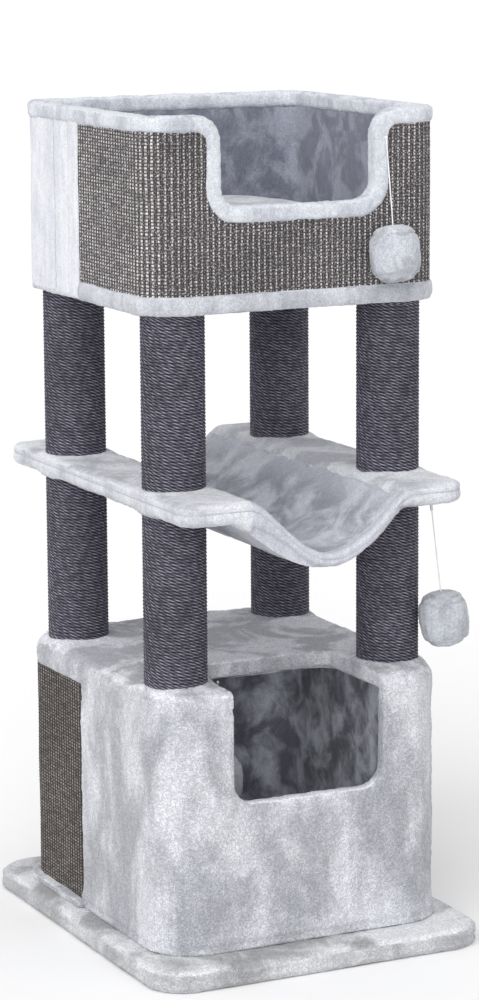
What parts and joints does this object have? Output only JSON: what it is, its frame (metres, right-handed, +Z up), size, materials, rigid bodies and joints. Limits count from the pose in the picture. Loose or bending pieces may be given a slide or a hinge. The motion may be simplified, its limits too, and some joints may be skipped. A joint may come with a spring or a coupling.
{
  "type": "cat tree",
  "caption": "Plush cat tree: cave with a cut-away entry, sisal posts, hammock between two wings, notched bed with a loose cushion, and hanging ball toys.",
  "frame": {"origin": "middle of the base's underside", "axes": "+Z up, -Y out of the cave's entry, +X to the right seen from the front"},
  "size_m": [0.5855, 0.69, 1.326],
  "materials": {
    "plush": "brushed short-pile plush",
    "dark_plush": "short-pile plush",
    "lining": "short-pile plush",
    "sisal_rope": "matte twisted rope",
    "woven_mat": "matte coarse weave",
    "chipboard": "unfinished",
    "wall_panel": "unfinished thin board",
    "cardboard": "matte wound card",
    "zinc_steel": "zinc plated",
    "string": "smooth braided string"
  },
  "bodies": {
    "tree": {"base_board": "chipboard", "base_plush": "plush", "cave_wall_front": "wall_panel", "cave_wall_back": "wall_panel", "cave_top_board": "chipboard", "cave_top_plush": "plush", "cave_front_plush": "plush", "cave_back_mat": "woven_mat", "cave_foot_trim": "plush", "cave_lining": "dark_plush", "cave_roof_lining": "dark_plush", "cave_floor_pad": "dark_plush", "lower_tube_fl": "cardboard", "lower_tube_fr": "cardboard", "lower_tube_bl": "cardboard", "lower_tube_br": "cardboard", "lower_rope_fl": "sisal_rope", "lower_rope_fr": "sisal_rope", "lower_rope_bl": "sisal_rope", "lower_rope_br": "sisal_rope", "upper_tube_fl": "cardboard", "upper_tube_fr": "cardboard", "upper_tube_bl": "cardboard", "upper_tube_br": "cardboard", "upper_rope_fl": "sisal_rope", "upper_rope_fr": "sisal_rope", "upper_rope_bl": "sisal_rope", "upper_rope_br": "sisal_rope", "post_plugs": "chipboard", "post_inserts": "zinc_steel", "post_bolts": "zinc_steel", "post_washers": "zinc_steel", "tier_studs": "zinc_steel", "wing_board_left": "chipboard", "wing_board_right": "chipboard", "wing_sleeve_left": "plush", "wing_sleeve_right": "plush", "hammock_sling": "plush", "bed_floor_board": "chipboard", "bed_floor_plush": "plush", "bed_wall_front": "wall_panel", "bed_wall_back": "wall_panel", "bed_front_mat": "woven_mat", "bed_back_plush": "plush", "bed_rim_trim": "plush", "bed_lining": "lining", "bed_floor_pad": "lining"},
    "cushion": {"bed_cushion": "plush"},
    "rim_knot": {"rim_toy_knot": "string"},
    "rim_toy": {"rim_toy_string": "string", "rim_toy_ball": "plush"},
    "wing_knot": {"wing_toy_knot": "string"},
    "wing_toy": {"wing_toy_string": "string", "wing_toy_ball": "plush"},
    "cave_knot": {"cave_toy_knot": "string"},
    "cave_toy": {"cave_toy_string": "string", "cave_toy_ball": "dark_plush"}
  },
  "joints": [
    {"name": "rim_toy_out", "type": "hinge", "parent": "tree", "child": "rim_knot", "pos_m": [0.14896, -0.25186, 1.28374], "axis": [-1, 0, 0], "range_deg": [0, 75]},
    {"name": "rim_toy_side", "type": "hinge", "parent": "rim_knot", "child": "rim_toy", "pos_m": [0.14896, -0.25186, 1.28374], "axis": [0, 1, 0], "range_deg": [-12, 12]},
    {"name": "wing_toy_out", "type": "hinge", "parent": "tree", "child": "wing_knot", "pos_m": [0.23988, -0.23152, 0.71818], "axis": [0.6231, 0.7822, 0], "range_deg": [-70, 0]},
    {"name": "wing_toy_side", "type": "hinge", "parent": "wing_knot", "child": "wing_toy", "pos_m": [0.23988, -0.23152, 0.71818], "axis": [0.7822, -0.6231, 0], "range_deg": [-25, 25]},
    {"name": "cave_toy_swing", "type": "hinge", "parent": "tree", "child": "cave_knot", "pos_m": [-0.062, -0.08, 0.4132], "axis": [1, 0, 0], "range_deg": [-45, 60]},
    {"name": "cave_toy_side", "type": "hinge", "parent": "cave_knot", "child": "cave_toy", "pos_m": [-0.062, -0.08, 0.4132], "axis": [0, 1, 0], "range_deg": [-60, 45]},
    {"name": "cushion_lift", "type": "slide", "parent": "tree", "child": "cushion", "axis": [0, 0, 1], "range_m": [0, 0.26]}
  ]
}
